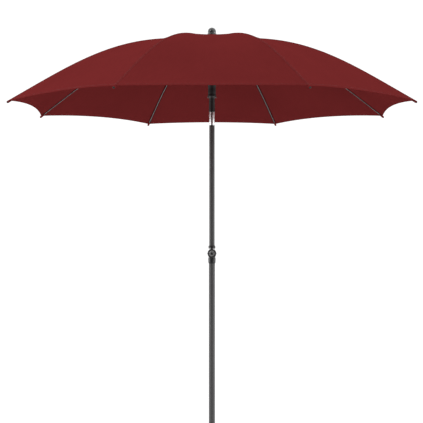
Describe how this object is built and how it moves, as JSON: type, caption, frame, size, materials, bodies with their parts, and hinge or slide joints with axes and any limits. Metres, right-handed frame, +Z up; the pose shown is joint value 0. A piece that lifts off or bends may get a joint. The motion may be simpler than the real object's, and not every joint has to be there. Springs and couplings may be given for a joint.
{
  "type": "garden parasol",
  "caption": "Garden parasol with a round scalloped canopy on curved ribs, a tilting head, a two-part height-adjustable pole and a clamp knob.",
  "frame": {"origin": "centre of the pole's bottom end", "axes": "+Z up along the pole, -Y towards the side that the clamp knob faces"},
  "size_m": [1.7248, 1.7248, 2.161],
  "materials": {
    "cloth": "wine-red woven polyester",
    "rib_fibreglass": "grey glass-fibre rod",
    "stretcher_rod": "grey painted steel rod",
    "black_plastic": "black moulded plastic",
    "clamp_plastic": "anthracite moulded plastic, semi-gloss",
    "finial_plastic": "dark grey glossy plastic",
    "pole_paint": "anthracite powder coat",
    "chrome": "bright chrome plate",
    "zinc_steel": "zinc-plated steel"
  },
  "bodies": {
    "lower_pole": {"lower_tube": "pole_paint", "foot_cap": "black_plastic", "clamp_body": "clamp_plastic", "clamp_nut": "zinc_steel"},
    "clamp_screw": {"clamp_screw": "zinc_steel"},
    "clamp_knob": {"clamp_knob": "clamp_plastic"},
    "pole_slider": {"guide_bush": "black_plastic"},
    "upper_pole": {"upper_tube": "pole_paint", "tilt_fork": "chrome", "tilt_pin": "zinc_steel"},
    "head": {"tilt_tongue": "chrome", "top_tube": "pole_paint", "hub": "black_plastic", "hub_ring": "zinc_steel", "top_patch": "cloth", "finial": "finial_plastic"},
    "tilt_sleeve": {"tilt_sleeve": "black_plastic"},
    "catch_left": {"catch_left": "zinc_steel"},
    "catch_right": {"catch_right": "zinc_steel"},
    "runner": {"runner": "black_plastic"},
    "rib_1": {"rib_1": "rib_fibreglass", "rib_tip_1": "black_plastic", "rib_bracket_1": "black_plastic", "gore_1": "cloth"},
    "rib_2": {"rib_2": "rib_fibreglass", "rib_tip_2": "black_plastic", "rib_bracket_2": "black_plastic", "gore_2": "cloth"},
    "rib_3": {"rib_3": "rib_fibreglass", "rib_tip_3": "black_plastic", "rib_bracket_3": "black_plastic", "gore_3": "cloth"},
    "rib_4": {"rib_4": "rib_fibreglass", "rib_tip_4": "black_plastic", "rib_bracket_4": "black_plastic", "gore_4": "cloth"},
    "rib_5": {"rib_5": "rib_fibreglass", "rib_tip_5": "black_plastic", "rib_bracket_5": "black_plastic", "gore_5": "cloth"},
    "rib_6": {"rib_6": "rib_fibreglass", "rib_tip_6": "black_plastic", "rib_bracket_6": "black_plastic", "gore_6": "cloth"},
    "rib_7": {"rib_7": "rib_fibreglass", "rib_tip_7": "black_plastic", "rib_bracket_7": "black_plastic", "gore_7": "cloth"},
    "rib_8": {"rib_8": "rib_fibreglass", "rib_tip_8": "black_plastic", "rib_bracket_8": "black_plastic", "gore_8": "cloth"},
    "stretcher_1": {"stretcher_1": "stretcher_rod"},
    "stretcher_2": {"stretcher_2": "stretcher_rod"},
    "stretcher_3": {"stretcher_3": "stretcher_rod"},
    "stretcher_4": {"stretcher_4": "stretcher_rod"},
    "stretcher_5": {"stretcher_5": "stretcher_rod"},
    "stretcher_6": {"stretcher_6": "stretcher_rod"},
    "stretcher_7": {"stretcher_7": "stretcher_rod"},
    "stretcher_8": {"stretcher_8": "stretcher_rod"}
  },
  "joints": [
    {"name": "clamp_screw_travel", "type": "slide", "parent": "lower_pole", "child": "clamp_screw", "axis": [0, -1, 0], "range_m": [0, 0.0025]},
    {"name": "clamp_knob_turn", "type": "hinge", "parent": "clamp_screw", "child": "clamp_knob", "pos_m": [0, 0, 1.123], "axis": [0, -1, 0], "range_deg": [0, 720]},
    {"name": "pole_height", "type": "slide", "parent": "lower_pole", "child": "pole_slider", "axis": [0, 0, 1], "range_m": [-0.5, 0]},
    {"name": "pole_swivel", "type": "hinge", "parent": "pole_slider", "child": "upper_pole", "pos_m": [0, 0, 0.9535], "axis": [0, 0, 1], "continuous": true},
    {"name": "canopy_tilt", "type": "hinge", "parent": "upper_pole", "child": "head", "pos_m": [0, 0, 1.745], "axis": [1, 0, 0], "range_deg": [-40, 0]},
    {"name": "tilt_sleeve_slide", "type": "slide", "parent": "head", "child": "tilt_sleeve", "axis": [0, 0, -1], "range_m": [0, 0.06]},
    {"name": "catch_left_press", "type": "slide", "parent": "head", "child": "catch_left", "axis": [1, 0, 0], "range_m": [0, 0.008], "stiffness_N_per_m": 400},
    {"name": "catch_right_press", "type": "slide", "parent": "head", "child": "catch_right", "axis": [-1, 0, 0], "range_m": [0, 0.008], "stiffness_N_per_m": 400},
    {"name": "canopy_fold", "type": "slide", "parent": "head", "child": "runner", "axis": [0, 0, -1], "range_m": [0, 0.5494], "deforming": ["catch_left", "catch_right", "gore_1", "gore_2", "gore_3", "gore_4", "gore_5", "gore_6", "gore_7", "gore_8"]},
    {"name": "rib_1_fold", "type": "hinge", "parent": "head", "child": "rib_1", "pos_m": [0.02079, 0.00861, 2.09897], "axis": [-0.3827, 0.9239, 0], "range_deg": [0, 67.05]},
    {"name": "rib_2_fold", "type": "hinge", "parent": "head", "child": "rib_2", "pos_m": [0.00861, 0.02079, 2.09897], "axis": [-0.9239, 0.3827, 0], "range_deg": [0, 67.05]},
    {"name": "rib_3_fold", "type": "hinge", "parent": "head", "child": "rib_3", "pos_m": [-0.00861, 0.02079, 2.09897], "axis": [-0.9239, -0.3827, 0], "range_deg": [0, 67.05]},
    {"name": "rib_4_fold", "type": "hinge", "parent": "head", "child": "rib_4", "pos_m": [-0.02079, 0.00861, 2.09897], "axis": [-0.3827, -0.9239, 0], "range_deg": [0, 67.05]},
    {"name": "rib_5_fold", "type": "hinge", "parent": "head", "child": "rib_5", "pos_m": [-0.02079, -0.00861, 2.09897], "axis": [0.3827, -0.9239, 0], "range_deg": [0, 67.05]},
    {"name": "rib_6_fold", "type": "hinge", "parent": "head", "child": "rib_6", "pos_m": [-0.00861, -0.02079, 2.09897], "axis": [0.9239, -0.3827, 0], "range_deg": [0, 67.05]},
    {"name": "rib_7_fold", "type": "hinge", "parent": "head", "child": "rib_7", "pos_m": [0.00861, -0.02079, 2.09897], "axis": [0.9239, 0.3827, 0], "range_deg": [0, 67.05]},
    {"name": "rib_8_fold", "type": "hinge", "parent": "head", "child": "rib_8", "pos_m": [0.02079, -0.00861, 2.09897], "axis": [0.3827, 0.9239, 0], "range_deg": [0, 67.05]},
    {"name": "stretcher_1_fold", "type": "hinge", "parent": "rib_1", "child": "stretcher_1", "pos_m": [0.36234, 0.15009, 2.0464], "axis": [0.3827, -0.9239, 0], "range_deg": [0, 122.21]},
    {"name": "stretcher_2_fold", "type": "hinge", "parent": "rib_2", "child": "stretcher_2", "pos_m": [0.15009, 0.36234, 2.0464], "axis": [0.9239, -0.3827, 0], "range_deg": [0, 122.21]},
    {"name": "stretcher_3_fold", "type": "hinge", "parent": "rib_3", "child": "stretcher_3", "pos_m": [-0.15009, 0.36234, 2.0464], "axis": [0.9239, 0.3827, 0], "range_deg": [0, 122.21]},
    {"name": "stretcher_4_fold", "type": "hinge", "parent": "rib_4", "child": "stretcher_4", "pos_m": [-0.36234, 0.15009, 2.0464], "axis": [0.3827, 0.9239, 0], "range_deg": [0, 122.21]},
    {"name": "stretcher_5_fold", "type": "hinge", "parent": "rib_5", "child": "stretcher_5", "pos_m": [-0.36234, -0.15009, 2.0464], "axis": [-0.3827, 0.9239, 0], "range_deg": [0, 122.21]},
    {"name": "stretcher_6_fold", "type": "hinge", "parent": "rib_6", "child": "stretcher_6", "pos_m": [-0.15009, -0.36234, 2.0464], "axis": [-0.9239, 0.3827, 0], "range_deg": [0, 122.21]},
    {"name": "stretcher_7_fold", "type": "hinge", "parent": "rib_7", "child": "stretcher_7", "pos_m": [0.15009, -0.36234, 2.0464], "axis": [-0.9239, -0.3827, 0], "range_deg": [0, 122.21]},
    {"name": "stretcher_8_fold", "type": "hinge", "parent": "rib_8", "child": "stretcher_8", "pos_m": [0.36234, -0.15009, 2.0464], "axis": [-0.3827, -0.9239, 0], "range_deg": [0, 122.21]}
  ],
  "couplings": [
    {"joint": "clamp_knob_turn", "follows": "clamp_screw_travel", "rad_per_m": 5026.5},
    {"joint": "rib_1_fold", "follows": "canopy_fold", "rad_per_m": 2.1284},
    {"joint": "rib_2_fold", "follows": "canopy_fold", "rad_per_m": 2.1284},
    {"joint": "rib_3_fold", "follows": "canopy_fold", "rad_per_m": 2.1284},
    {"joint": "rib_4_fold", "follows": "canopy_fold", "rad_per_m": 2.1284},
    {"joint": "rib_5_fold", "follows": "canopy_fold", "rad_per_m": 2.1284},
    {"joint": "rib_6_fold", "follows": "canopy_fold", "rad_per_m": 2.1284},
    {"joint": "rib_7_fold", "follows": "canopy_fold", "rad_per_m": 2.1284},
    {"joint": "rib_8_fold", "follows": "canopy_fold", "rad_per_m": 2.1284},
    {"joint": "stretcher_1_fold", "follows": "canopy_fold", "rad_per_m": 3.8805},
    {"joint": "stretcher_2_fold", "follows": "canopy_fold", "rad_per_m": 3.8805},
    {"joint": "stretcher_3_fold", "follows": "canopy_fold", "rad_per_m": 3.8805},
    {"joint": "stretcher_4_fold", "follows": "canopy_fold", "rad_per_m": 3.8805},
    {"joint": "stretcher_5_fold", "follows": "canopy_fold", "rad_per_m": 3.8805},
    {"joint": "stretcher_6_fold", "follows": "canopy_fold", "rad_per_m": 3.8805},
    {"joint": "stretcher_7_fold", "follows": "canopy_fold", "rad_per_m": 3.8805},
    {"joint": "stretcher_8_fold", "follows": "canopy_fold", "rad_per_m": 3.8805}
  ]
}
